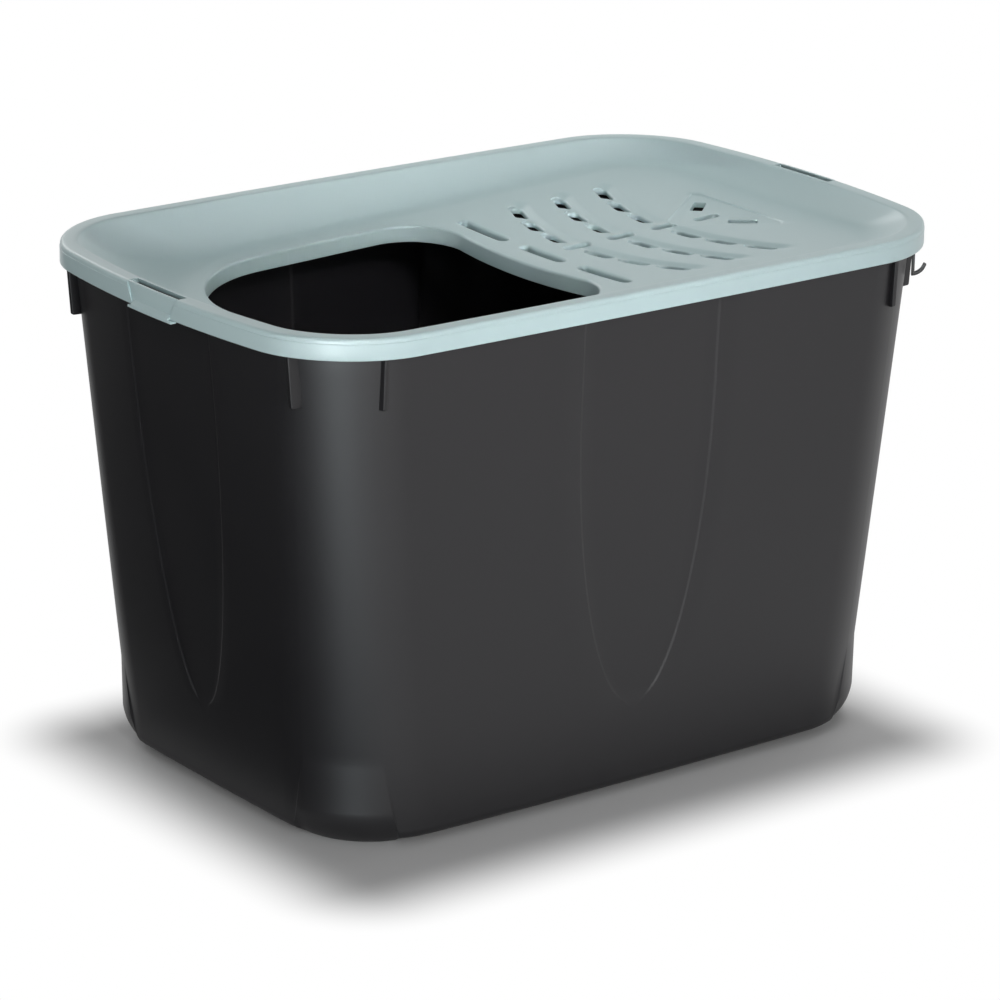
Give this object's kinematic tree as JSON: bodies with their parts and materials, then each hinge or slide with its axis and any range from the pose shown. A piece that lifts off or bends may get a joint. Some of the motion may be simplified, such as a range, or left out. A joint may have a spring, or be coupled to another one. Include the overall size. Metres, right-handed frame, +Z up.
{
  "type": "top entry litter box",
  "caption": "Deep plastic litter tub under a dished lid that clips on, with a large entry opening, a perforated tread area in the pattern of a fish skeleton, end latches and a scoop hook.",
  "frame": {"origin": "on the ground, under the middle of the box's footprint", "axes": "+Z up, +X along the box away from the entry opening, +Y across the box; the scoop hook is at the +X -Y corner"},
  "size_m": [0.6032, 0.3874, 0.3851],
  "materials": {
    "tub_plastic": "fine satin moulded plastic, anthracite",
    "lid_plastic": "satin moulded plastic, pale sage",
    "hook_plastic": "satin moulded plastic, dark grey"
  },
  "bodies": {
    "tub": {"tub": "tub_plastic", "scoop_hook": "hook_plastic"},
    "lid": {"lid": "lid_plastic"},
    "left_latch": {"left_latch": "lid_plastic"},
    "right_latch": {"right_latch": "lid_plastic"}
  },
  "joints": [
    {"name": "lid_lift", "type": "slide", "parent": "tub", "child": "lid", "axis": [0, 0, 1], "range_m": [0, 0.12]},
    {"name": "left_latch_hinge", "type": "hinge", "parent": "lid", "child": "left_latch", "pos_m": [-0.297, 0, 0.3814], "axis": [0, 1, 0], "range_deg": [0, 9], "stiffness_Nm_per_rad": 0.1},
    {"name": "right_latch_hinge", "type": "hinge", "parent": "lid", "child": "right_latch", "pos_m": [0.297, 0, 0.3814], "axis": [0, -1, 0], "range_deg": [0, 9], "stiffness_Nm_per_rad": 0.1}
  ]
}
